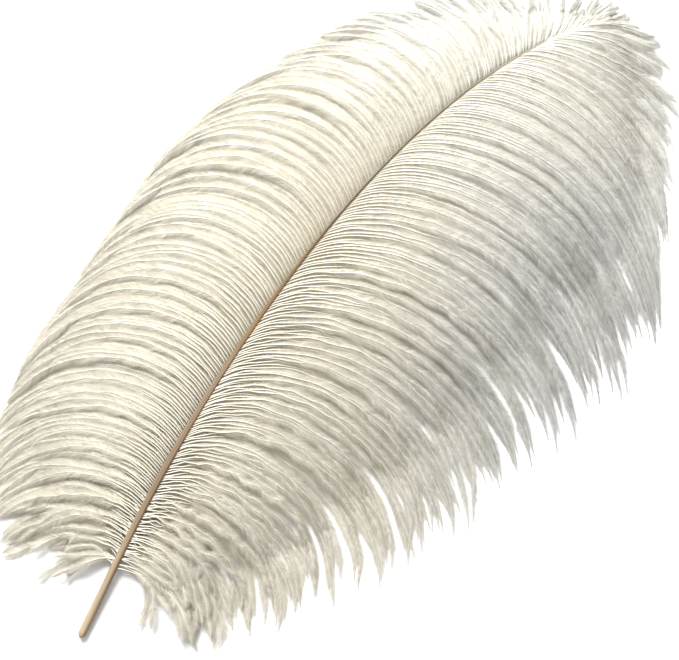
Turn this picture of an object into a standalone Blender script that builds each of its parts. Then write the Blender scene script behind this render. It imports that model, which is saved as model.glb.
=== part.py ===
# Ostrich plume lying on a table: one grown piece, a quill and shaft with a vane of locks on each side.
# Metres, +Z up, +Y from the quill's end to the tip. The origin is on the table, under the plume's middle.
import math
import random

import bmesh
import bpy
import numpy as np

random.seed(7)

# Driving sizes
VANE_BASE = (-0.0041, -0.1378)  # where the vane begins, from the middle of the whole
QUILL = 0.040  # bare quill below the vane
VANE = 0.307  # shaft with barbs on it, along its curve
QUILL_RADIUS = 0.0018
QUILL_END = 0.6  # radius of the quill's end face, as a share
QUILL_ROUNDING = 0.6  # length of the rounding there, as a share of the radius
SHAFT_RADIUS = 0.0015  # where the vane begins
TIP_RADIUS = 0.0005
SHAFT_HEIGHT = 0.0090  # of the shaft's middle above the table
TIP_HEIGHT = 0.0035
LEFT_BARB = 0.103  # longest barb on each side, along its curve
RIGHT_BARB = 0.141
ARCH = 0.0045  # how far the longest barbs rise above the shaft
ROOT_THICKNESS = 0.0014
LOCK_THICKNESS = 0.0044
END_THICKNESS = 0.0019
EDGE = 0.55  # height of a lock's edges, as a share of its thickness
RIDGE = 0.0016  # a lock's middle above its thickness
RIDGE_SPREAD = 0.35
LOCKS = 32  # on each side
LAST_LOCK = 0.965  # share of the vane with side locks; beyond it a fan carries on from the shaft
FAN_LOCKS = 3
FAN_SPREAD = (-42.0, 12.0)  # turn of the fan's outer edges from the shaft, in degrees
FAN_LENGTH = 0.030
FAN_OVERLAP = 0.012  # of the fan with the shaft
PARTING = 0.08  # gap on each side of a parted lock, as a share of its half width
END_WIDTH = 0.10  # of a lock's end, as a share of its full width
TAPER = 3.0  # higher keeps a lock full for longer
LENGTH_SPREAD = 0.045  # by which neighbouring locks differ in length

# Directions in degrees, seen from above
BASE_HEADING = 103.3  # of the shaft where the vane begins
BOW = 24.0  # even turn to the right along the vane
DROOP = 22.0  # further turn near the tip
FLATTEST_END = 155.0  # most that a lock turns away from the shaft

# Stations along a lock, from the shaft to its end
STATIONS = [0.0, 0.05, 0.12, 0.21, 0.31, 0.41, 0.51, 0.61, 0.71, 0.80, 0.87, 0.94, 1.0]
SPLIT = 5  # station where neighbouring locks part
DOWNY_SPLIT = 2  # the same in the loose down near the quill
DOWNY_LOCKS = 4
TOUCHDOWN = 0.80  # share of a lock's length beyond which it lies on the table
SHAFT_STEPS = 40
SHAFT_SIDES = 10
ROOT_INSET = 0.3  # of a lock's inner end inside the shaft, as a share of its radius
TRACE_STEPS = 400  # along the shaft
BARB_STEPS = 48
SHARP_ANGLE = 40.0  # edges bent by more than this stay sharp


def mix(a, b, share):
    return a + (b - a) * share


def swell(u, power=1.0):
    """Rises from 0 to 1 as u does, and levels out."""
    return math.sin(min(max(u, 0.0), 1.0) * math.pi / 2) ** power


def heading(t):
    return BASE_HEADING - BOW * t - DROOP * t**5


def left_barb(t):
    """Angle at the shaft, quick extra turn, angle at the end and length of the left barb at t."""
    length = LEFT_BARB * mix(0.52, 1, swell(t / 0.35)) * mix(0.12, 1, swell((1 - t) / 0.44, 1.8))
    near_tip = 1 - (1 - min((1 - t) / 0.5, 1)) ** 2.8
    end = mix(158, 182, swell(t / 0.4, 2)) * near_tip
    leave = mix(70, 57, swell(t / 0.15)) * mix(0.15, 1, swell((1 - t) / 0.15))
    turn = mix(15, 8, swell(t / 0.6)) * swell((1 - t) / 0.15)
    return leave, turn, end, length


def right_barb(t):
    length = RIGHT_BARB * mix(0.36, 1, swell(t / 0.42)) * mix(0.09, 1, swell((1 - t) / 0.30))
    near_tip = 1 - (1 - min((1 - t) / 0.3, 1)) ** 3.5
    end = mix(158, 122, swell(t / 0.7)) * near_tip
    leave = mix(55, 21, swell(t / 0.25)) * mix(0.2, 1, swell((1 - t) / 0.15))
    turn = 25 * mix(0.15, 1, swell((1 - t) / 0.2))
    return leave, turn, end, length


def direction(angle):
    """Unit vector at an angle in degrees."""
    return np.array([math.cos(math.radians(angle)), math.sin(math.radians(angle))])


def trace_shaft():
    """Points of the shaft's middle line from above, from the vane's base to the tip."""
    points = [np.array(VANE_BASE)]
    for i in range(TRACE_STEPS):
        points.append(points[-1] + direction(heading((i + 0.5) / TRACE_STEPS)) * VANE / TRACE_STEPS)
    return np.array(points)


SHAFT_LINE = trace_shaft()


def shaft_xy(t):
    """The shaft's middle at t, where 0 is the vane's base, 1 the tip and the quill is below 0."""
    if t < 0:
        return np.array(VANE_BASE) + direction(heading(0)) * VANE * t
    at = min(t, 1.0) * (len(SHAFT_LINE) - 1)
    low = min(int(at), len(SHAFT_LINE) - 2)
    return mix(SHAFT_LINE[low], SHAFT_LINE[low + 1], at - low)


def shaft_radius(t):
    if t < 0:
        return mix(SHAFT_RADIUS, QUILL_RADIUS, swell(-t * VANE / QUILL))
    return mix(SHAFT_RADIUS, TIP_RADIUS, t**0.8)


def shaft_z(t):
    """The quill's end lies on the table, and the vane's cushion carries the rest."""
    from_end = (t * VANE + QUILL) / (QUILL + 0.25 * VANE)
    rise = mix(QUILL_RADIUS, SHAFT_HEIGHT, swell(from_end, 1.6))
    return mix(rise, TIP_HEIGHT, max(t, 0) ** 3)


def barb_xy(t, side, share):
    """A point on the barb at t, the given share of its length out from the shaft."""
    leave, turn, end, length = left_barb(t) if side > 0 else right_barb(t)
    end = min(end, FLATTEST_END)
    point = shaft_xy(t)
    for i in range(BARB_STEPS):
        s = (i + 0.5) / BARB_STEPS * share
        angle = leave + turn * (1 - math.exp(-s / 0.07)) + (end - leave - turn) * s
        point = point + direction(heading(t) + side * angle) * length * share / BARB_STEPS
    return point


def underside(t, side, share):
    """Height of a lock's underside, and its thickness."""
    length = left_barb(t)[3] if side > 0 else right_barb(t)[3]
    size = length / RIGHT_BARB
    thick = mix(ROOT_THICKNESS, mix(END_THICKNESS, LOCK_THICKNESS, size), swell(share / 0.3))
    thick = mix(thick, END_THICKNESS, swell((share - 0.4) / 0.6, 2))
    thick = min(thick, mix(1.3 * shaft_radius(t), LOCK_THICKNESS, swell(share / 0.2)))
    if share >= TOUCHDOWN:
        return 0.0, thick
    out = share / TOUCHDOWN
    middle = shaft_z(t) * (1 - out**2.2) + ARCH * size * math.sin(math.pi * out**0.9)
    return max(middle - thick / 2, 0.0), thick


def make_comb(name, locks, spot, section, split_at):
    """Locks joined edge to edge near the shaft and parted further out.

    spot gives a place in the comb, and section the underside's height and the thickness there, both
    for a position across the locks and a share of their length; split_at gives the station where
    the locks on both sides of an edge part.
    """
    bm = bmesh.new()
    last = len(STATIONS) - 1
    stretch = [1 + random.uniform(-LENGTH_SPREAD, LENGTH_SPREAD) for _ in range(locks)]
    fullness = [1 + random.uniform(-RIDGE_SPREAD, RIDGE_SPREAD) for _ in range(locks)]

    def share_at(lock, station):
        """Locks differ in length, from where they part outwards."""
        s = STATIONS[station]
        parted = STATIONS[SPLIT]
        return s * mix(1, stretch[lock], max(s - parted, 0) / (1 - parted))

    def edge_pair(xy, across, station):
        """Upper and lower vertex of a lock's edge."""
        low, thick = section(across, STATIONS[station])
        return bm.verts.new((*xy, low + thick * EDGE)), bm.verts.new((*xy, low))

    def free_pair(lock, edge, station):
        """The same on a lock's own side, beyond where it parts from its neighbour."""
        middle = lock + 0.5
        parted = STATIONS[split_at(edge)]
        apart = (STATIONS[station] - parted) / (1 - parted)
        width = 1 - PARTING * min(apart * 4, 1) - (1 - PARTING - END_WIDTH) * apart**TAPER
        share = share_at(lock, station)
        return edge_pair(mix(spot(middle, share), spot(edge, share), width), middle, station)

    shared = {}
    for edge in range(locks + 1):
        for station in range(split_at(edge) + 1):
            shared[edge, station] = edge_pair(spot(edge, STATIONS[station]), edge, station)

    for lock in range(locks):
        first, second = [
            [
                shared[edge, station] if station <= split_at(edge) else free_pair(lock, edge, station)
                for station in range(last + 1)
            ]
            for edge in (lock, lock + 1)
        ]
        tops = []
        for station in range(last + 1):
            s = STATIONS[station]
            low, thick = section(lock + 0.5, s)
            ridge = RIDGE * fullness[lock] * swell(s / 0.25) * mix(1, 0.3, swell(s, 3))
            tops.append(bm.verts.new((*spot(lock + 0.5, share_at(lock, station)), low + thick + ridge)))
        for j in range(last):
            bm.faces.new((first[j][0], first[j + 1][0], tops[j + 1], tops[j]))
            bm.faces.new((tops[j], tops[j + 1], second[j + 1][0], second[j][0]))
            bm.faces.new((second[j][1], second[j + 1][1], first[j + 1][1], first[j][1]))
            if j >= split_at(lock):
                bm.faces.new((first[j][1], first[j + 1][1], first[j + 1][0], first[j][0]))
            if j >= split_at(lock + 1):
                bm.faces.new((second[j][0], second[j + 1][0], second[j + 1][1], second[j][1]))
        for j in (0, last):
            bm.faces.new((first[j][0], tops[j], second[j][0], second[j][1], first[j][1]))
    return finish(bm, name)


def make_vane(side):
    """One side's locks, from the vane's base to near the tip."""

    def along(place):
        return place / LOCKS * LAST_LOCK

    def split_at(edge):
        if edge in (0, LOCKS):
            return 0
        return DOWNY_SPLIT if edge < DOWNY_LOCKS else SPLIT

    def spot(place, share):
        """The inner end is kept inside the shaft, on its own side."""
        t = along(place)
        inset = shaft_radius(t) * ROOT_INSET * max(0, 1 - share / STATIONS[1])
        return barb_xy(t, side, share) + direction(heading(t) + side * 90) * inset

    def section(place, share):
        return underside(along(place), side, share)

    return make_comb("vane_left" if side > 0 else "vane_right", LOCKS, spot, section, split_at)


def make_fan():
    """The last locks, which carry on past the shaft's tip and spread."""
    start = shaft_xy(1 - FAN_OVERLAP / VANE)

    def split_at(edge):
        return 0 if edge in (0, FAN_LOCKS) else DOWNY_SPLIT

    def spot(place, share):
        """The fan turns within the first half of its length."""
        point = start + direction(heading(1) + 90) * TIP_RADIUS * (place / FAN_LOCKS - 0.5)
        for i in range(BARB_STEPS):
            turn = mix(*FAN_SPREAD, place / FAN_LOCKS) * swell((i + 0.5) / BARB_STEPS * share * 2)
            point = point + direction(heading(1) + turn) * FAN_LENGTH * share / BARB_STEPS
        return point

    def section(place, share):
        thick = mix(TIP_RADIUS * 0.8, END_THICKNESS, swell(share * 2))
        middle = mix(TIP_HEIGHT, thick / 2, swell(share, 2))
        return max(middle - thick / 2, 0.0), thick

    return make_comb("tip_fan", FAN_LOCKS, spot, section, split_at)


def make_shaft():
    """Quill and shaft as one tapered round bar, with the quill's end rounded off."""
    bm = bmesh.new()
    low = -QUILL / VANE
    places = [(low, QUILL_END), (low + QUILL_RADIUS * QUILL_ROUNDING / VANE, 1.0)]
    places += [(mix(low, 1.0, i / SHAFT_STEPS), 1.0) for i in range(1, SHAFT_STEPS + 1)]
    rings = []
    for t, share in places:
        x, y = shaft_xy(t)
        across = direction(heading(max(t, 0)) - 90)
        ring = []
        for k in range(SHAFT_SIDES):
            turn = 2 * math.pi * (k + 0.5) / SHAFT_SIDES
            out = shaft_radius(t) * share * math.cos(turn)
            up = shaft_radius(t) * share * math.sin(turn)
            ring.append(bm.verts.new((x + out * across[0], y + out * across[1], shaft_z(t) + up)))
        rings.append(ring)
    skin(bm, rings)
    return finish(bm, "ostrich_feather")


def skin(bm, rings):
    """Joins rings of equal count into a closed bar."""
    for a, b in zip(rings, rings[1:]):
        for k in range(len(a)):
            n = (k + 1) % len(a)
            bm.faces.new((a[k], a[n], b[n], b[k]))
    bm.faces.new(rings[0])
    bm.faces.new(rings[-1])


def finish(bm, name):
    """Closes a mesh up as an object with its faces turned outwards."""
    bmesh.ops.triangulate(bm, faces=bm.faces[:])
    bmesh.ops.recalc_face_normals(bm, faces=bm.faces[:])
    mesh = bpy.data.meshes.new(name)
    bm.to_mesh(mesh)
    bm.free()
    obj = bpy.data.objects.new(name, mesh)
    bpy.context.scene.collection.objects.link(obj)
    return obj


def fuse(base, other):
    """Joins another solid to the base and removes it."""
    union = base.modifiers.new(other.name, "BOOLEAN")
    union.operation = "UNION"
    union.solver = "EXACT"
    union.object = other
    bpy.context.view_layer.update()
    shape = base.evaluated_get(bpy.context.evaluated_depsgraph_get())
    mesh = bpy.data.meshes.new_from_object(shape)
    base.modifiers.clear()
    base.data = mesh
    bpy.data.objects.remove(other, do_unlink=True)


def ivory():
    """Warm white of undyed plume."""
    material = bpy.data.materials.new("plume_ivory")
    material.use_nodes = True
    shader = material.node_tree.nodes["Principled BSDF"]
    shader.inputs["Base Color"].default_value = (0.84, 0.80, 0.72, 1.0)
    shader.inputs["Roughness"].default_value = 0.8
    return material


for old in list(bpy.data.objects):
    bpy.data.objects.remove(old, do_unlink=True)

feather = make_shaft()
for vane_side in (1, -1):
    fuse(feather, make_vane(vane_side))
fuse(feather, make_fan())
feather.data.materials.clear()
feather.data.materials.append(ivory())
feather.data.shade_smooth()
feather.data.set_sharp_from_angle(angle=math.radians(SHARP_ANGLE))
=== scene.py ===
# An ostrich plume with every barb and barbule as mesh on its quill and shaft, lying on a pale floor
# and seen from above. Lengths are in metres and angles in degrees unless a comment says otherwise.
# t is a place along the vane, 0 where it begins and 1 at its tip, and s a place along a barb.
import math

import bpy
import numpy as np
from mathutils import Matrix, Vector


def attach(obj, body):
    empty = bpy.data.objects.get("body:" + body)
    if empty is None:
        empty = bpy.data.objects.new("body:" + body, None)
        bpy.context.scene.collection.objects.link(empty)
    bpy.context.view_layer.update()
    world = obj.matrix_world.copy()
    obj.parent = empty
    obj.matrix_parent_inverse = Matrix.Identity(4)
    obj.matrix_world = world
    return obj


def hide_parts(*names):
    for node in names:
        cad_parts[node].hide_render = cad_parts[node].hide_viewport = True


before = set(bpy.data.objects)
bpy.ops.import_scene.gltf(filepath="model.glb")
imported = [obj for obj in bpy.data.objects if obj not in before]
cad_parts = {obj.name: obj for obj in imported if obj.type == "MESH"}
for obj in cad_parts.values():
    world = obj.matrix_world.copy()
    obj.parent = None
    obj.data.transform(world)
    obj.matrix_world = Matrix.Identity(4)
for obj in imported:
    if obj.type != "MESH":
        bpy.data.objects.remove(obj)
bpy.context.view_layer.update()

NODE = "ostrich_feather"
rng = np.random.default_rng(11)

# The feather's own lines, the same as those of its solid
VANE_BASE = np.array([-0.0041, -0.1378])
QUILL = 0.040  # length of the bare quill
VANE = 0.307  # length of the shaft in the vane
QUILL_RADIUS = 0.0018
SHAFT_RADIUS = 0.0015
TIP_RADIUS = 0.00016
SHAFT_HEIGHT = 0.0090
TIP_HEIGHT = 0.0035
LEFT_BARB = 0.103
RIGHT_BARB = 0.141
ARCH = 0.0045  # rise of the vane above the line from the shaft to where it lies on the floor
TOUCHDOWN = 0.80  # share of a barb's length at which it lies down
BASE_HEADING = 103.3  # of the shaft where the vane begins
BOW = 24.0  # turn of the shaft over its length
DROOP = 22.0  # further turn near its tip

# The photograph's frame: where the vane begins in it, and the real size of a pixel there
PIXEL = 0.00042
FRAME_WIDTH = 679
FRAME_HEIGHT = 660
BASE_PIXEL = (119.5, 555.0)
ROLL = 39.3  # degrees from the photograph's upright to +Y
LENS = 100.0

# Barbs. Where values are by side, 1 is the photograph's left and -1 its right
BARB_GAPS = (0.00115, 0.00190)  # between barbs along the shaft, near its base and further up
BARB_JITTER = 0.25  # most that a barb is off its place, as a share of the gap
TIP_FILL = 34  # extra barbs near the tip, which lie under the others
TIP_FILL_FROM = 0.24  # how far below the tip they begin, as a share of the vane
UNDER_SHARE = 0.40  # share of barbs that lie under the others
STRAYS = {1: 0.02, -1: 0.07}  # share of barbs that lie across the others, by side
RAMUS_STATIONS = 30
STATION_POWER = 1.06  # stations lie a little closer together near the shaft

# How barbs gather in locks. Widths, drifts and the like are shares of the vane's length
LOCK_WIDTHS = (0.014, 0.030)
LOCK_SHIFT = 0.002  # of a lock's middle
LOCK_GATHER = (0.20, 0.55)  # share of the way by which barbs draw to their lock's middle
LOCK_DRIFT = 0.0023  # of whole locks along the vane
BARB_DRIFT = 0.0036  # of single barbs
UNDER_DRIFT = 0.0045  # of the barbs that lie under the others
VEER = {1: 0.006, -1: 0.008}  # of single barbs near their ends, by side
CRIMP_LEAST = 0.0003  # how much a barb wavers near the shaft
CRIMP_MOST = {1: 0.0009, -1: 0.0019}  # the same, by side
CLOSING = 0.8  # how near the barbs of a lock come to its middle at their ends
CLOSING_FROM = 0.89  # share of the barbs' length beyond which they close on each other

# Unevenness of the barbs' lengths, as shares of a length, and of their heights
LOCK_STRETCH = 0.026
BARB_STRETCH = 0.045
STRETCH_LIMITS = (-0.16, 0.13)
UNEVEN_ENDS = 0.0030  # in metres
LAYERING = {1: (0.0012, 0.0007), -1: (0.0014, 0.0013)}  # height of layers near the base and above it
STRAY_LIFT = 0.0016
FLOOR_RISES = (0.0014, 0.0020)  # most that single barbs and locks end above FLOOR_GAP
FLOOR_GAP = 0.0006  # least height of a barb's middle line

# The stems of barbs
RAMUS_RADIUS = {1: 0.00020, -1: 0.00027}  # in the middle of a barb, by side
RAMUS_VARIES = (0.5, 1.1)  # least and most of that radius that a barb has
ROOT_RADII = (0.00033, 0.00021)  # by the shaft, in the lower and the upper half
RAMUS_TIP_RADIUS = 0.00005
RAMUS_LIFT = 0.9  # of a stem above where its barbules leave it, as a share of its radius
ROOT_DROP = 0.0007  # of the stems' inner ends below the shaft's middle
RAMUS_CORNERS = (90, 210, 330)  # degrees around the stem

# Barbules, as pointed blades in tufts on both edges of a barb
TUFT_GAP = 0.00098  # between tufts along a barb
TUFT_BLADES = 9  # on each edge
TUFT_CLOSING = 17.0  # degrees by which the barbules of a tuft close on each other
BLADE_LENGTH = 0.0050
BLADE_SHARES = (0.46, 1, 0.20)  # of that length: by the shaft, in the middle and at a barb's end
BLADE_ANGLES = (58, 33, 17)  # to the barb, at the same places
BLADE_WIDTH = 0.00015
BLADE_LOWEST = 0.0002  # least height of a blade's point
SHORT_BARB = 0.045  # barbs shorter than this have shorter barbules, closer together
COMB_DROOP = (-70.0, -26.0)  # of the barbules by the shaft, which show the barbs as a comb
COMB_FADES = {1: (0.15, 0.70), -1: (0.18, 0.75)}  # where along the vane it eases, by side
ROOF_DROOP = {1: -16.0, -1: -22.0}  # of the barbules further out, by side
END_DROOP = 9.0  # by which barbules hang further down in the outer half
SLOW_RATES = (1.0, 1.37, 0.81)  # of the slow changes along a barb, in turns per SLOW_LENGTH
SLOW_LENGTH = 0.021

# Loose strands, on each side of the shaft
DOWN_STRANDS = 34  # at its base
TIP_STRANDS = 46  # at its end

# Objects that each side is cut into
LEFT_SECTIONS = 4
RIGHT_SECTIONS = 5

# The texture map
MAP = "OFBake"
BLADE_MAP = 0.78  # share of the map's width that barbules take; the rest is for the stems

# Where the plume turns from cream to white, and so where the painted shade on the white side lies: a
# direction in the photograph, and places along it
WHITER_TOWARD = 10.0
WHITER_FROM = 0.00
WHITER_TO = 0.08
THROUGH = 0.26  # share of the light that barbules let through

# Shaft
SHAFT_SIDES = 24
SHAFT_RINGS = 220
GROOVE_DEPTH = 0.30  # as a share of the shaft's radius
GROOVE_WIDTH = 0.42  # in radians around the shaft

# Floor and light
FLOOR_REACH = 3.0  # from its middle to its sides
FLOOR_COLOUR = (0.96, 0.96, 0.96, 1)
ROOM_LIGHT = 0.54
LAMP_SIZE = 0.6
LAMP_WATTS = 36.0
LAMP_TOWARD = 110.0  # degrees from the photograph's right
LAMP_AWAY = 1.05  # along the floor from the middle of the picture
LAMP_HEIGHT = 0.96


def mix(a, b, share):
    """From a to b as share goes from 0 to 1."""
    return a + (b - a) * share


def swell(u, power=1.0):
    """Rises from 0 to 1 as u does, and levels out."""
    return np.sin(np.clip(u, 0, 1) * np.pi / 2) ** power


def smooth(u):
    """Rises from 0 to 1 as u does, level at both ends."""
    u = np.clip(u, 0, 1)
    return u * u * (3 - 2 * u)


def heading(t):
    """Direction of the shaft at t."""
    return BASE_HEADING - BOW * t - DROOP * t**5


def left_barb(t):
    """Angle at the shaft, quick extra turn, angle at the end and length of the left barb at t."""
    length = LEFT_BARB * mix(0.52, 1, swell(t / 0.35)) * mix(0.12, 1, swell((1 - t) / 0.44, 1.8))
    near_tip = 1 - (1 - np.clip((1 - t) / 0.5, 0, 1)) ** 2.8
    end = mix(158, 182, swell(t / 0.4, 2)) * near_tip
    leave = mix(70, 57, swell(t / 0.15)) * mix(0.15, 1, swell((1 - t) / 0.15))
    turn = mix(15, 8, swell(t / 0.6)) * swell((1 - t) / 0.15)
    return leave, turn, end, length


def right_barb(t):
    """The same four values for the right barb at t."""
    length = RIGHT_BARB * mix(0.36, 1, swell(t / 0.42)) * mix(0.09, 1, swell((1 - t) / 0.30))
    near_tip = 1 - (1 - np.clip((1 - t) / 0.3, 0, 1)) ** 3.5
    end = mix(158, 122, swell(t / 0.7)) * near_tip
    leave = mix(55, 21, swell(t / 0.25)) * mix(0.2, 1, swell((1 - t) / 0.15))
    turn = 25 * mix(0.15, 1, swell((1 - t) / 0.2))
    return leave, turn, end, length


def unit(angle):
    """Unit vectors for angles in degrees."""
    a = np.radians(angle)
    return np.stack([np.cos(a), np.sin(a)], axis=-1)


SHAFT_STEPS = 400
SHAFT_LINE = VANE_BASE + np.vstack(
    [np.zeros(2), np.cumsum(unit(heading((np.arange(SHAFT_STEPS) + 0.5) / SHAFT_STEPS)), axis=0)]
) * (VANE / SHAFT_STEPS)


def shaft_xy(t):
    """Middle of the shaft at t, seen from above; the quill lies at t below 0."""
    t = np.asarray(t, float)
    at = np.clip(t, 0, 1) * SHAFT_STEPS
    grid = np.arange(SHAFT_STEPS + 1)
    on = np.stack([np.interp(at, grid, SHAFT_LINE[:, k]) for k in (0, 1)], axis=-1)
    below = np.minimum(t, 0)[..., None] * VANE * unit(heading(0.0))
    return on + below


def shaft_radius(t):
    """What shows of the shaft: it is thinner further up, where the barbs close over it."""
    t = np.asarray(t, float)
    quill = mix(SHAFT_RADIUS, QUILL_RADIUS, swell(-t * VANE / QUILL))
    slim = mix(SHAFT_RADIUS, 0.00030, smooth((t - 0.12) / 0.52))
    return np.where(t < 0, quill, mix(slim, TIP_RADIUS, smooth((t - 0.7) / 0.3)))


def shaft_z(t):
    """Height of the shaft's middle: it rises out of the quill and comes down towards the tip."""
    t = np.asarray(t, float)
    from_end = (t * VANE + QUILL) / (QUILL + 0.25 * VANE)
    rise = mix(QUILL_RADIUS, SHAFT_HEIGHT, swell(from_end, 1.6))
    return mix(rise, TIP_HEIGHT, np.clip(t, 0, 1) ** 3)


class Vane:
    """The smooth surface that one side's barbs lie in, as a grid that any point is read from."""

    ROWS = 240
    COLUMNS = 150
    REACH = 1.25  # how far past a barb's usual end the grid goes

    def __init__(self, side, barb):
        self.side = side
        self.t = np.linspace(0, 1, self.ROWS + 1)
        self.s = np.linspace(0, self.REACH, self.COLUMNS + 1)
        leave, turn, end, length = [v[:, None] for v in barb(self.t)]
        middle = ((self.s[:-1] + self.s[1:]) / 2)[None, :]
        angle = leave + turn * (1 - np.exp(-middle / 0.07)) + (end - leave - turn) * middle
        step = unit(heading(self.t)[:, None] + side * angle) * (length * self.s[1])[:, :, None]
        start = shaft_xy(self.t)[:, None, :]
        self.xy = np.concatenate([start, start + np.cumsum(step, axis=1)], axis=1)
        out = np.clip(self.s / TOUCHDOWN, 0, 1)[None, :]
        arch = ARCH * (length / RIGHT_BARB) * np.sin(np.pi * out**0.9)
        self.z = shaft_z(self.t)[:, None] * (1 - out**2.2) + arch
        self.length = length[:, 0]

    def at(self, t, s):
        """x, y and z at any t and s."""
        row = np.clip(t, 0, 1) * self.ROWS
        column = np.clip(s, 0, self.REACH) / self.REACH * self.COLUMNS
        r = np.minimum(row.astype(int), self.ROWS - 1)
        c = np.minimum(column.astype(int), self.COLUMNS - 1)
        fr = (row - r)[..., None]
        fc = (column - c)[..., None]
        grid = np.concatenate([self.xy, self.z[:, :, None]], axis=2)
        low = mix(grid[r, c], grid[r, c + 1], fc)
        high = mix(grid[r + 1, c], grid[r + 1, c + 1], fc)
        return mix(low, high, fr)

    def length_at(self, t):
        return np.interp(t, self.t, self.length)


def lock_edges():
    """Uneven borders that part the vane into locks, from its base to its tip."""
    edges = [0.0]
    while edges[-1] < 1:
        edges.append(edges[-1] + rng.uniform(*LOCK_WIDTHS))
    edges[-1] = 1.001
    return np.array(edges)


def barb_places():
    """Where barbs leave the shaft, in order, and which of them are extra ones near the tip."""
    steps = np.linspace(0, 1, 2000)
    passed = np.cumsum(VANE / mix(*BARB_GAPS, smooth((steps - 0.05) / 0.5))) / len(steps)
    count = int(passed[-1])
    jitter = rng.uniform(-BARB_JITTER, BARB_JITTER, count)
    t = np.interp(np.arange(count) + 0.5 + jitter, passed, steps)
    t = np.concatenate([t, 1 - TIP_FILL_FROM * rng.uniform(0, 1, TIP_FILL) ** 1.3])
    extra = np.arange(len(t)) >= count
    order = np.argsort(t)
    return t[order], extra[order]


def make_barbs(vane):
    """Middle lines of all of one side's barbs, as points by barb and station.

    Their places along the shaft, their lengths and how ruffled their barbules are come with them.
    """
    side = vane.side
    t, extra = barb_places()
    count = len(t)

    # What the barbs of a lock share, and how single ones differ from it
    edges = lock_edges()
    locks = len(edges) - 1
    lock = np.searchsorted(edges, t, side="right") - 1
    middle = ((edges[:-1] + edges[1:]) / 2 + rng.normal(0, LOCK_SHIFT, locks))[lock]
    gather = rng.uniform(*LOCK_GATHER, locks)[lock]
    drift = rng.normal(0, LOCK_DRIFT, locks)[lock] + rng.normal(0, BARB_DRIFT, count)
    lift = rng.uniform(0, 1, locks)[lock]
    stretch = rng.normal(0, LOCK_STRETCH, locks)[lock] + rng.normal(0, BARB_STRETCH, count)
    stretch += rng.normal(0, UNEVEN_ENDS, count) / vane.length_at(t)
    stretch = np.clip(stretch, *STRETCH_LIMITS)

    # Barbs are looser by the base and lie more evenly towards the tip
    loose = np.exp(-t / 0.06)
    stray = rng.random(count) < STRAYS[side]
    under = extra | (rng.random(count) < UNDER_SHARE)
    calm = 1 - 0.8 * smooth((t - 0.62) / 0.25)
    gather = np.where(under, gather * 0.15, gather) * calm
    drift = np.where(under, rng.normal(0, UNDER_DRIFT, count), drift)
    veer = rng.normal(0, VEER[side], count) * calm
    wave = rng.uniform(0, 2 * np.pi, count)
    beat = rng.uniform(0.9, 1.9, count)
    sway = (0.0012 + 0.0010 * loose + 0.004 * stray) * rng.uniform(0.4, 1.3, count)

    # Where each station lies along the vane
    s = np.linspace(0, 1, RAMUS_STATIONS)[None, :] ** STATION_POWER
    pull = gather[:, None] * smooth((s - 0.08) / 0.4) * mix(1, 0.06, smooth((s - 0.42) / 0.35))
    close = (CLOSING - gather) * np.where(under, 0.5, 1.0) * calm
    pull = pull + close[:, None] * smooth((s - CLOSING_FROM) / (1 - CLOSING_FROM))
    where = t[:, None] + (middle - t)[:, None] * pull + drift[:, None] * smooth((s - 0.2) / 0.8)
    where += veer[:, None] * smooth((s - 0.5) / 0.5) ** 2
    where += sway[:, None] * np.sin(beat[:, None] * 2 * np.pi * s + wave[:, None]) * smooth(s / 0.5)
    crimp = rng.uniform(CRIMP_LEAST, CRIMP_MOST[side], count) * mix(1, 0.4, smooth((t - 0.4) / 0.3))
    crimp = crimp[:, None] * smooth(s / 0.06) * (1 - smooth((s - 0.5) / 0.3))
    where += crimp * np.sin(rng.uniform(5, 9, count)[:, None] * 2 * np.pi * s + 2 * wave[:, None])
    over = np.maximum(where - 1, 0)
    points = vane.at(np.minimum(where, 1), s * (1 + stretch[:, None]))
    points[..., :2] += over[..., None] * VANE * unit(heading(1.0))

    # Barbs of a lock lie in layers a little way out, and none passes under the floor
    layer = np.where(under, rng.uniform(-1.6, -0.5, count), rng.uniform(-0.3, 0.5, count) + 1.6 * lift)
    height = mix(*LAYERING[side], smooth((t - 0.08) / 0.25)) * mix(0.45, 1, calm)
    depth = (layer * height)[:, None] * smooth((s - 0.02) / 0.3)
    depth += stray[:, None] * STRAY_LIFT * smooth((s - 0.1) / 0.4)
    floor = FLOOR_GAP + FLOOR_RISES[0] * rng.random(count)[:, None]
    floor = floor + FLOOR_RISES[1] * np.where(under, 0, lift)[:, None]
    depth -= ROOT_DROP * (1 - smooth(s / 0.05))
    points[..., 2] = np.maximum(points[..., 2] + depth, floor)
    points[..., 2] = mix(points[..., 2], floor * 0.6, smooth((s - 0.85) / 0.15) * 0.8)
    length = vane.length_at(t) * (1 + stretch)
    return {"t": t, "points": points, "length": length, "wild": 0.15 * loose + 0.15 * stray}


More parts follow.
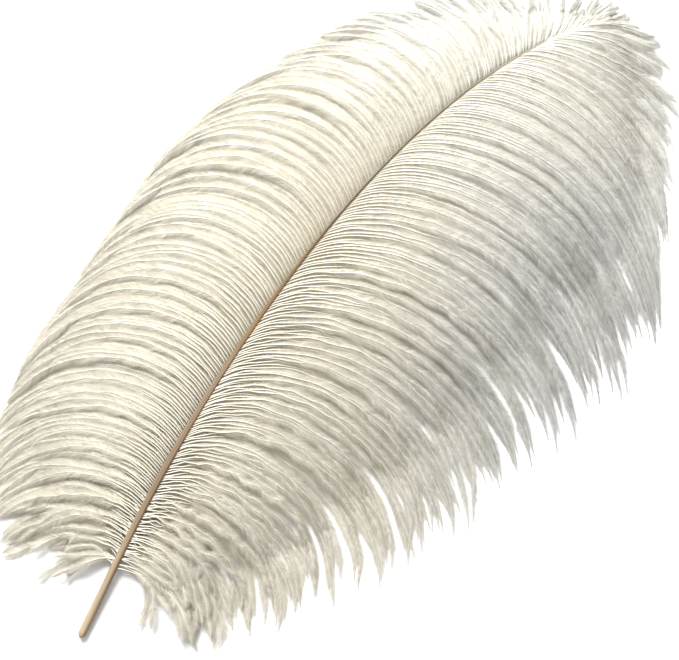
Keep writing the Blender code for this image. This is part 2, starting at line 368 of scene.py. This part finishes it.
def strands(side, t, length, leave, end, bend, curl, rise):
    """Single strands that leave the shaft at t, each with its own bend, curl and height at its end."""
    count = len(t)
    wave = rng.uniform(0, 2 * np.pi, (2, count, 1))
    beat = rng.uniform(0.8, 2.0, (2, count, 1)) * 2 * np.pi
    share = np.linspace(0, 1, RAMUS_STATIONS) ** STATION_POWER
    s = ((share[1:] + share[:-1]) / 2)[None, :]
    angle = leave[:, None] + (end - leave)[:, None] * s ** bend[:, None]
    angle += curl[:, None] * np.sin(beat[0] * s + wave[0]) * smooth(s / 0.3)
    step = unit(heading(np.clip(t, 0, 1))[:, None] + side * angle)
    step = step * (np.diff(share)[None, :] * length[:, None])[..., None]
    start = shaft_xy(t)[:, None, :]
    xy = np.concatenate([start, start + np.cumsum(step, axis=1)], axis=1)
    s = share[None, :]
    z = mix(shaft_z(t)[:, None] * np.ones_like(s), rise[:, None], smooth(s / 0.55))
    z += 0.02 * length[:, None] * np.sin(beat[1] * s + wave[1]) * smooth(s / 0.4)
    return np.concatenate([xy, np.maximum(z, FLOOR_GAP)[..., None]], axis=2)


def make_down(side):
    """Loose strands around the shaft's base, which fall back along the quill."""
    count = DOWN_STRANDS
    t = rng.uniform(-0.025, 0.085, count)
    length = rng.uniform(0.024, 0.056, count) * (1 + 2.0 * np.clip(t, 0, 1))
    leave = rng.uniform(35, 95, count)
    end = rng.uniform(125, 176, count)
    bend = rng.uniform(0.5, 1.0, count)
    curl = rng.uniform(2, 9, count)
    rise = rng.uniform(0.0005, 0.0055, count)
    points = strands(side, t, length, leave, end, bend, curl, rise)
    return {"t": np.maximum(t, 0), "points": points, "length": length, "wild": np.full(count, 0.22)}


def make_tip(side):
    """Fine strands that round off the vane past the end of the shaft."""
    count = TIP_STRANDS
    t = rng.uniform(0.93, 1.0, count)
    length = rng.uniform(0.012, 0.026, count) * (1.0 if side < 0 else 0.7)
    leave = rng.uniform(0, 38, count)
    end = leave + rng.uniform(20, 65, count) if side < 0 else leave + rng.uniform(-25, 12, count)
    bend = rng.uniform(0.8, 1.4, count)
    curl = rng.uniform(0, 5, count)
    rise = rng.uniform(0.0008, 0.0020, count)
    points = strands(side, t, length, leave, end, bend, curl, rise)
    return {"t": t, "points": points, "length": length, "wild": np.full(count, 0.05)}


def directions(points):
    """Unit vectors along each barb, across it in the vane, and out of the vane."""
    along = np.gradient(points, axis=1)
    along /= np.linalg.norm(along, axis=2, keepdims=True)
    across = np.cross(np.array([0.0, 0.0, 1.0]), along)
    across /= np.linalg.norm(across, axis=2, keepdims=True)
    return along, across, np.cross(along, across)


def map_rows(count):
    """Each barb has its own row of the texture map."""
    return (np.arange(count) + 0.2) / count * 0.98


def ramus_mesh(barbs, chosen):
    """Three-sided tapered tubes along the chosen barbs."""
    points = barbs["points"][chosen]
    along, across, up = directions(points)
    count, stations = points.shape[:2]
    s = np.linspace(0, 1, stations)
    root = mix(*ROOT_RADII, smooth((barbs["t"][chosen] - 0.35) / 0.4))[:, None]
    full = RAMUS_RADIUS[barbs["side"]] * rng.uniform(*RAMUS_VARIES, count)
    full = (full * mix(0.6, 1, smooth((barbs["t"][chosen] - 0.1) / 0.15)))[:, None]
    radius = mix(root, mix(full, RAMUS_TIP_RADIUS, s**1.3), smooth(s / 0.32))
    radius = (radius * mix(0.4, 1, smooth(s / 0.04)))[..., None]
    corners = []
    middle = points + up * radius * RAMUS_LIFT
    for turn in RAMUS_CORNERS:
        a = math.radians(turn)
        corners.append(middle + (across * math.cos(a) + up * math.sin(a)) * radius)
    verts = np.stack(corners, axis=2).reshape(-1, 3)
    index = np.arange(count * stations * 3).reshape(count, stations, 3)
    near, far = index[:, :-1], index[:, 1:]
    faces = []
    for k in range(3):
        n = (k + 1) % 3
        faces.append(np.stack([near[..., k], near[..., n], far[..., n]], axis=-1).reshape(-1, 3))
        faces.append(np.stack([near[..., k], far[..., n], far[..., k]], axis=-1).reshape(-1, 3))
    share = np.broadcast_to(s[None, :, None], (count, stations, 3)).reshape(-1)
    row = np.broadcast_to(map_rows(count)[:, None, None], (count, stations, 3)).reshape(-1)
    corner = np.tile([0.0, 0.5, 1.0], count * stations)
    column = BLADE_MAP + 0.02 + (0.98 - BLADE_MAP) * share
    return verts, np.concatenate(faces), np.stack([column, row + corner * 0.3 / count], axis=1)


def blade_mesh(barbs, chosen):
    """Barbules: pointed blades in tufts on both edges of the chosen barbs."""
    points = barbs["points"][chosen]
    count, stations = points.shape[:2]
    along, across, up = directions(points)
    length = barbs["length"][chosen]
    short = np.minimum(length / SHORT_BARB, 1) ** 0.8
    tufts = np.maximum((length / TUFT_GAP / short).astype(int), 3)
    barb = np.repeat(np.arange(count), tufts)
    order = np.arange(len(barb)) - np.repeat(np.cumsum(tufts) - tufts, tufts)
    tuft_at = (order + 0.6) / tufts[barb]

    # Every tuft has blades on both edges
    blades = 2 * TUFT_BLADES
    tuft = np.repeat(np.arange(len(barb)), blades)
    edge = np.tile(np.repeat([1.0, -1.0], TUFT_BLADES), len(barb))
    spot = np.tile(np.tile((np.arange(TUFT_BLADES) + 0.5) / TUFT_BLADES - 0.5, 2), len(barb))
    total = len(tuft)
    b = barb[tuft]
    s = np.clip(tuft_at[tuft] + (spot + rng.normal(0, 0.12, total)) / tufts[b], 0.003, 0.999)

    # Points and directions at s are read between the two stations beside it
    share = s ** (1 / STATION_POWER) * (stations - 1)
    low = np.minimum(share.astype(int), stations - 2)
    rest = (share - low)[:, None]

    def read(field):
        return mix(field[b, low], field[b, low + 1], rest)

    root, ahead, outward, upward = read(points), read(along), read(across), read(up)
    pair = tuft * 2 + (edge > 0)
    pairs = 2 * len(barb)
    wild = barbs["wild"][chosen][b]
    ruffle = 1 + 2.5 * wild

    # Slow changes along each barb, which its barbules share
    phase = rng.uniform(0, 2 * np.pi, (3, count, 2))
    which = (edge > 0).astype(int)
    pace = length[b] / SLOW_LENGTH * 2 * np.pi * s
    slow = [np.sin(pace * rate + phase[k][b, which]) for k, rate in enumerate(SLOW_RATES)]

    # Which way each blade points and how long it is
    lean = slow[0] * 5 + rng.normal(0, 3.0, pairs)[pair] + rng.normal(0, 2.5, total)
    sag = slow[1] * 5 + rng.normal(0, 3.5, pairs)[pair] + rng.normal(0, 3.5, total)
    grown = 1 + slow[2] * 0.09 + rng.normal(0, 0.06, pairs)[pair] + rng.uniform(-0.14, 0.10, total)
    angle = mix(*BLADE_ANGLES[:2], smooth(s / 0.28))
    angle = mix(angle, BLADE_ANGLES[2], smooth((s - 0.85) / 0.15))
    angle = angle + lean * ruffle - spot * TUFT_CLOSING * (1 + 4 * wild)
    fade_from, fade_to = COMB_FADES[barbs["side"]]
    comb = mix(*COMB_DROOP, smooth((barbs["t"][chosen][b] - fade_from) / (fade_to - fade_from)))
    droop = mix(comb, ROOF_DROOP[barbs["side"]], smooth((s - 0.03) / 0.24))
    droop -= END_DROOP * smooth((s - 0.45) / 0.3)
    pitch = np.radians(droop + sag * ruffle)
    a = np.radians(angle)
    aim = ahead * np.cos(a)[:, None] + outward * (edge * np.sin(a) * np.cos(pitch))[:, None]
    aim += upward * (np.sin(a) * np.sin(pitch))[:, None]
    size = BLADE_LENGTH * mix(*BLADE_SHARES[:2], smooth((s - 0.03) / 0.3))
    size = size * mix(*BLADE_SHARES[1:], smooth((s - 0.86) / 0.14)) * grown * short[b]
    tip = root + aim * size[:, None]
    tip[:, 2] = np.maximum(tip[:, 2], BLADE_LOWEST)

    # Three corners for each blade, turned a little about its own line
    twist = np.radians((rng.normal(0, 5, pairs)[pair] + rng.normal(0, 7, total)) * ruffle)
    flat = np.cross(upward, aim)
    flat /= np.linalg.norm(flat, axis=1, keepdims=True)
    face = flat * np.cos(twist)[:, None] + np.cross(aim, flat) * np.sin(twist)[:, None]
    half = face * (BLADE_WIDTH / 2)
    verts = np.stack([root - half, root + half, tip], axis=1).reshape(-1, 3)
    faces = np.arange(total * 3).reshape(-1, 3)

    # Barbs near the tip of the vane stay as light as the inner part of the others, short of the
    # painted shade at the others' ends
    row = map_rows(count)[b]
    u = 0.002 + s * (BLADE_MAP - 0.006) * mix(1, 0.6, smooth((barbs["t"][chosen][b] - 0.7) / 0.2))
    near, off = 0.0011, 0.35 / count
    uv = [np.stack([u - near, row], 1), np.stack([u + near, row], 1), np.stack([u, row + off], 1)]
    return verts, faces, np.stack(uv, axis=1).reshape(-1, 2)


def build(name, shapes, materials):
    """One mesh object from sets of vertices, triangles and map places, each with its own material."""
    verts = np.concatenate([s[0] for s in shapes])
    starts = np.cumsum([0] + [len(s[0]) for s in shapes[:-1]])
    faces = np.concatenate([s[1] + start for s, start in zip(shapes, starts)])
    uv = np.concatenate([s[2] for s in shapes]) * 0.98 + 0.008
    mesh = bpy.data.meshes.new(name)
    mesh.vertices.add(len(verts))
    mesh.vertices.foreach_set("co", verts.astype(np.float32).ravel())
    mesh.loops.add(len(faces) * 3)
    mesh.loops.foreach_set("vertex_index", faces.astype(np.int32).ravel())
    mesh.polygons.add(len(faces))
    mesh.polygons.foreach_set("loop_start", np.arange(0, len(faces) * 3, 3, dtype=np.int32))
    worn = np.repeat(np.arange(len(shapes)), [len(s[1]) for s in shapes])
    mesh.polygons.foreach_set("material_index", worn.astype(np.int32))
    for material in materials:
        mesh.materials.append(material)
    layer = mesh.uv_layers.new(name=MAP)
    layer.data.foreach_set("uv", uv[faces.ravel()].astype(np.float32).ravel())
    mesh.update(calc_edges=True)
    mesh.validate()
    obj = bpy.data.objects.new(name, mesh)
    bpy.context.scene.collection.objects.link(obj)
    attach(obj, "root")
    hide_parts(NODE)
    return obj


def new_material(name, roughness, specular):
    """A material, its nodes and links, and its shader."""
    material = bpy.data.materials.new(name)
    material.use_nodes = True
    shader = material.node_tree.nodes["Principled BSDF"]
    shader.inputs["Roughness"].default_value = roughness
    shader.inputs["Specular IOR Level"].default_value = specular
    return material, material.node_tree.nodes, material.node_tree.links, shader


def ramp(nodes, stops):
    """A colour ramp with the given places and colours."""
    node = nodes.new("ShaderNodeValToRGB")
    elements = node.color_ramp.elements
    while len(elements) < len(stops):
        elements.new(0.5)
    for element, (place, colour) in zip(elements, stops):
        element.position = place
        element.color = (*colour, 1.0)
    return node


def noise(nodes, links, vector, scale, detail):
    """A noise value stretched by the given scale."""
    stretch = nodes.new("ShaderNodeMapping")
    stretch.inputs["Scale"].default_value = scale
    links.new(vector, stretch.inputs["Vector"])
    grain = nodes.new("ShaderNodeTexNoise")
    grain.inputs["Scale"].default_value = 1.0
    grain.inputs["Detail"].default_value = detail
    links.new(stretch.outputs["Vector"], grain.inputs["Vector"])
    return grain.outputs["Fac"]


def multiply(nodes, links, a, b, factor=1.0):
    """Two colours multiplied, by a share that is a number or another node's value."""
    mixer = nodes.new("ShaderNodeMix")
    mixer.data_type = "RGBA"
    mixer.blend_type = "MULTIPLY"
    if isinstance(factor, float):
        mixer.inputs["Factor"].default_value = factor
    else:
        links.new(factor, mixer.inputs["Factor"])
    links.new(a, mixer.inputs["A"])
    links.new(b, mixer.inputs["B"])
    return mixer.outputs["Result"]


def plume_colour_with_painted_shade(nodes, links, uv, cream, white):
    """Plume colour, cream by the quill and on the left and white towards the tip and the right; the
    grey at the white side's barb ends is painted shade.

    Also gives how far towards white a place is, and how far along its barb.
    """
    parts = nodes.new("ShaderNodeSeparateXYZ")
    links.new(uv, parts.inputs[0])
    place = nodes.new("ShaderNodeTexCoord")
    reach = nodes.new("ShaderNodeVectorMath")
    reach.operation = "DOT_PRODUCT"
    toward = unit(ROLL + WHITER_TOWARD)
    reach.inputs[1].default_value = (toward[0], toward[1], 0)
    links.new(place.outputs["Object"], reach.inputs[0])
    far = nodes.new("ShaderNodeMapRange")
    far.inputs["From Min"].default_value = WHITER_FROM
    far.inputs["From Max"].default_value = WHITER_TO
    links.new(reach.outputs["Value"], far.inputs["Value"])
    base = nodes.new("ShaderNodeMix")
    base.data_type = "RGBA"
    links.new(far.outputs["Result"], base.inputs["Factor"])
    for stops, socket in ((cream, "A"), (white, "B")):
        colours = ramp(nodes, stops)
        links.new(parts.outputs["X"], colours.inputs["Fac"])
        links.new(colours.outputs["Color"], base.inputs[socket])
    return base.outputs["Result"], far.outputs["Result"], parts.outputs["X"]


def map_place(nodes):
    """A surface's place on the texture map."""
    where = nodes.new("ShaderNodeUVMap")
    where.uv_map = MAP
    return where.outputs["UV"]


def painted_shade_by_barb(nodes, links, base, far, along, reach, tones):
    """Painted shade: towards the white ends of the right side, single barbs are darkened at random,
    standing in for barbs that lie in shade.
    """
    ends = nodes.new("ShaderNodeMapRange")
    ends.inputs["From Min"].default_value = reach[0]
    ends.inputs["From Max"].default_value = reach[1]
    ends.inputs["To Max"].default_value = 0.9
    links.new(along, ends.inputs["Value"])
    share = nodes.new("ShaderNodeMath")
    share.operation = "MULTIPLY"
    links.new(ends.outputs["Result"], share.inputs[0])
    links.new(far, share.inputs[1])
    single = noise(nodes, links, map_place(nodes), (3.0, 110.0, 1.0), 2.0)
    tone = ramp(nodes, tones)
    links.new(single, tone.inputs["Fac"])
    return multiply(nodes, links, base, tone.outputs["Color"], share.outputs["Value"])


def ramus_material():
    """The barbs' own stems, smoother and whiter than their barbules."""
    material, nodes, links, shader = new_material("plume_barbs", 0.42, 0.45)
    uv = map_place(nodes)
    cream = [
        (BLADE_MAP, (0.93, 0.88, 0.76)),
        (BLADE_MAP + 0.06, (0.95, 0.935, 0.87)),
        (1.00, (0.95, 0.94, 0.90)),
    ]
    # Painted shade: on the white side the stems grey a little towards their ends
    white = [
        (BLADE_MAP, (0.93, 0.90, 0.82)),
        (BLADE_MAP + 0.05, (0.95, 0.945, 0.92)),
        (1.00, (0.84, 0.84, 0.83)),
    ]
    base, far, along = plume_colour_with_painted_shade(nodes, links, uv, cream, white)
    # Painted shade on single stems towards the right side's ends
    tones = [(0.44, (0.42, 0.42, 0.41)), (0.52, (1.0, 1.0, 1.0))]
    base = painted_shade_by_barb(nodes, links, base, far, along, (BLADE_MAP + 0.07, BLADE_MAP + 0.13), tones)
    slow = noise(nodes, links, uv, (20.0, 60.0, 1.0), 2.0)
    tint = ramp(nodes, [(0.30, (0.90, 0.88, 0.82)), (0.62, (1.0, 1.0, 1.0))])
    links.new(slow, tint.inputs["Fac"])
    links.new(multiply(nodes, links, base, tint.outputs["Color"]), shader.inputs["Base Color"])
    return material


def barbule_material():
    """Soft and matt, brownish by the shaft, and a little light passes through."""
    material, nodes, links, shader = new_material("plume_barbules", 0.50, 0.35)
    uv = map_place(nodes)
    cream = [
        (0.00, (0.60, 0.51, 0.36)),
        (0.05, (0.82, 0.77, 0.64)),
        (0.25, (0.88, 0.85, 0.75)),
        (BLADE_MAP, (0.85, 0.82, 0.74)),
    ]
    # Painted shade: on the white side the barbules grey towards their ends, where the plume's edge is
    # lit less
    white = [
        (0.00, (0.66, 0.60, 0.47)),
        (0.06, (0.88, 0.86, 0.78)),
        (0.36, (0.91, 0.90, 0.86)),
        (BLADE_MAP * 0.62, (0.88, 0.88, 0.865)),
        (BLADE_MAP, (0.68, 0.68, 0.675)),
    ]
    base, far, along = plume_colour_with_painted_shade(nodes, links, uv, cream, white)
    # Painted shade on the barbules of single barbs towards the right side's ends
    tones = [(0.36, (0.74, 0.74, 0.72)), (0.60, (1.0, 1.0, 1.0))]
    base = painted_shade_by_barb(nodes, links, base, far, along, (0.25, 0.50), tones)

    # Slow changes along each barb, and tufts of barbules darkened at random: painted shade among the
    # barbules
    slow = noise(nodes, links, uv, (6.0, 60.0, 1.0), 3.0)
    warm = ramp(nodes, [(0.30, (0.92, 0.90, 0.85)), (0.70, (1.0, 1.0, 1.0))])
    links.new(slow, warm.inputs["Fac"])
    fine = noise(nodes, links, uv, (150.0, 60.0, 1.0), 1.0)
    shade = ramp(nodes, [(0.34, (0.79, 0.78, 0.75)), (0.60, (1.0, 1.0, 1.0))])
    links.new(fine, shade.inputs["Fac"])
    colour = multiply(nodes, links, base, warm.outputs["Color"])
    colour = multiply(nodes, links, colour, shade.outputs["Color"])
    links.new(colour, shader.inputs["Base Color"])

    through = nodes.new("ShaderNodeBsdfTranslucent")
    links.new(colour, through.inputs["Color"])
    both = nodes.new("ShaderNodeMixShader")
    both.inputs["Fac"].default_value = THROUGH
    links.new(shader.outputs["BSDF"], both.inputs[1])
    links.new(through.outputs["BSDF"], both.inputs[2])
    links.new(both.outputs["Shader"], nodes["Material Output"].inputs["Surface"])
    return material


def shaft_material():
    """Horn: pale at the quill, tan to brown along the vane, thin and olive at the tip."""
    material, nodes, links, shader = new_material("horn", 0.38, 0.45)
    uv = map_place(nodes)
    parts = nodes.new("ShaderNodeSeparateXYZ")
    links.new(uv, parts.inputs[0])
    along = ramp(nodes, [
        (0.00, (0.56, 0.46, 0.32)),
        (0.10, (0.46, 0.36, 0.24)),
        (0.20, (0.31, 0.23, 0.155)),
        (0.36, (0.31, 0.23, 0.155)),
        (0.43, (0.29, 0.19, 0.09)),
        (0.51, (0.22, 0.135, 0.06)),
        (0.60, (0.13, 0.085, 0.045)),
        (0.72, (0.15, 0.12, 0.08)),
        (0.82, (0.22, 0.20, 0.15)),
        (0.92, (0.66, 0.64, 0.53)),
    ])
    links.new(parts.outputs["X"], along.inputs["Fac"])
    streaks = noise(nodes, links, uv, (30.0, 14.0, 1.0), 5.0)
    tint = ramp(nodes, [(0.30, (0.72, 0.66, 0.58)), (0.75, (1.0, 1.0, 1.0))])
    links.new(streaks, tint.inputs["Fac"])
    # Painted shade: the shaft is darkened strongly along its right edge and a little at its left edge
    across = ramp(nodes, [
        (0.00, (0.60, 0.55, 0.50)),
        (0.12, (1.00, 1.00, 1.00)),
        (0.60, (0.96, 0.94, 0.92)),
        (0.72, (0.62, 0.54, 0.46)),
        (1.00, (0.22, 0.16, 0.12)),
    ])
    links.new(parts.outputs["Y"], across.inputs["Fac"])
    colour = multiply(nodes, links, along.outputs["Color"], tint.outputs["Color"], 0.8)
    colour = multiply(nodes, links, colour, across.outputs["Color"], 0.8)
    links.new(colour, shader.inputs["Base Color"])
    return material


def make_shaft():
    """Quill and shaft as one tapered round bar, grooved along its upper side in the vane."""
    sides, rings = SHAFT_SIDES, SHAFT_RINGS
    low = -QUILL / VANE
    t = low + (1 - low) * np.linspace(0, 1, rings)
    turn = np.linspace(0, 2 * np.pi, sides, endpoint=False)
    radius = shaft_radius(t)[:, None] * np.ones(sides)
    radius *= np.sqrt(np.clip(((t - low) * VANE / QUILL_RADIUS)[:, None] + 0.08, 0, 1))
    groove = GROOVE_DEPTH * np.exp(-(((turn - np.pi / 2) / GROOVE_WIDTH) ** 2))[None, :]
    radius *= 1 - groove * smooth((t + 0.03) / 0.08)[:, None] * (1 - smooth((t - 0.5) / 0.3))[:, None]
    along = unit(heading(np.maximum(t, 0)))
    across = np.stack([along[:, 1], -along[:, 0]], axis=1)
    xy = shaft_xy(t)[:, None, :] + (radius * np.cos(turn))[..., None] * across[:, None, :]
    z = shaft_z(t)[:, None] + radius * np.sin(turn)
    verts = np.concatenate([xy, z[..., None]], axis=2).reshape(-1, 3)
    index = np.arange(rings * sides).reshape(rings, sides)
    a, b = index[:-1], index[1:]
    c, d = np.roll(b, -1, axis=1), np.roll(a, -1, axis=1)
    faces = [np.stack([a, d, c], -1).reshape(-1, 3), np.stack([a, c, b], -1).reshape(-1, 3)]
    for ring, flip in ((index[0], 1), (index[-1], -1)):
        fan = np.stack([np.full(sides - 2, ring[0]), ring[1:-1], ring[2:]], -1)
        faces.append(fan[:, ::-flip])
    faces = np.concatenate(faces)
    u = np.broadcast_to(np.linspace(0, 1, rings)[:, None], (rings, sides))
    v = np.broadcast_to(0.5 + 0.5 * np.cos(turn)[None, :], (rings, sides))
    shape = (verts, faces, np.stack([u, v], -1).reshape(-1, 2))
    obj = build("quill_and_shaft", [shape], [shaft_material()])
    obj.data.shade_smooth()
    return obj


def make_vane(label, side, barb, sections, materials):
    """One side's down, barbs and tip strands, as objects of about equal length of barb."""
    groups = [make_down(side), make_barbs(Vane(side, barb)), make_tip(side)]
    barbs = {key: np.concatenate([group[key] for group in groups]) for key in groups[0]}
    barbs["side"] = side
    share = np.cumsum(barbs["length"]) / barbs["length"].sum()
    section = np.minimum((share * sections).astype(int), sections - 1)
    for k in range(sections):
        chosen = np.nonzero(section == k)[0]
        shapes = [ramus_mesh(barbs, chosen), blade_mesh(barbs, chosen)]
        obj = build(f"barbs_{label}_{k + 1}", shapes, materials)


def make_camera():
    """Looks straight down, turned as the photograph is. Gives the camera's place."""
    data = bpy.data.cameras.new("camera")
    data.lens = LENS
    data.sensor_width = 36.0
    turn = Matrix.Rotation(math.radians(ROLL), 2)
    offset = Vector((FRAME_WIDTH / 2 - BASE_PIXEL[0], BASE_PIXEL[1] - FRAME_HEIGHT / 2)) * PIXEL
    middle = turn @ offset
    distance = LENS / data.sensor_width * FRAME_WIDTH * PIXEL
    camera = bpy.data.objects.new("camera", data)
    camera.location = (VANE_BASE[0] + middle.x, VANE_BASE[1] + middle.y, distance + SHAFT_HEIGHT)
    camera.rotation_euler = (0, 0, math.radians(ROLL))
    bpy.context.scene.collection.objects.link(camera)
    bpy.context.scene.camera = camera
    return camera.location


def make_floor():
    """A plain pale square."""
    corners = [(x * FLOOR_REACH, y * FLOOR_REACH, 0) for x, y in ((-1, -1), (1, -1), (1, 1), (-1, 1))]
    mesh = bpy.data.meshes.new("floor")
    mesh.from_pydata(corners, [], [(0, 1, 2, 3)])
    floor = bpy.data.objects.new("floor", mesh)
    bpy.context.scene.collection.objects.link(floor)
    material = new_material("pale_floor", 0.9, 0.1)[0]
    material.node_tree.nodes["Principled BSDF"].inputs["Base Color"].default_value = FLOOR_COLOUR
    mesh.materials.append(material)


def make_lights(over):
    """A broad lamp, which stands past the photograph's upper edge, and a white room."""
    world = bpy.data.worlds.new("room")
    world.use_nodes = True
    world.node_tree.nodes["Background"].inputs["Color"].default_value = (1, 1, 1, 1)
    world.node_tree.nodes["Background"].inputs["Strength"].default_value = ROOM_LIGHT
    bpy.context.scene.world = world
    data = bpy.data.lights.new("lamp", "AREA")
    data.shape = "SQUARE"
    data.size = LAMP_SIZE
    data.energy = LAMP_WATTS
    lamp = bpy.data.objects.new("lamp", data)
    toward = unit(ROLL + LAMP_TOWARD)
    lamp.location = (over[0] + toward[0] * LAMP_AWAY, over[1] + toward[1] * LAMP_AWAY, LAMP_HEIGHT)
    ray = Vector((over[0], over[1], 0)) - lamp.location
    lamp.rotation_euler = ray.to_track_quat("-Z", "Y").to_euler()
    bpy.context.scene.collection.objects.link(lamp)


over = make_camera()
make_floor()
make_lights(over)
bpy.context.scene.view_settings.view_transform = "Standard"
plume = [ramus_material(), barbule_material()]
make_shaft()
make_vane("left", 1, left_barb, LEFT_SECTIONS, plume)
make_vane("right", -1, right_barb, RIGHT_SECTIONS, plume)
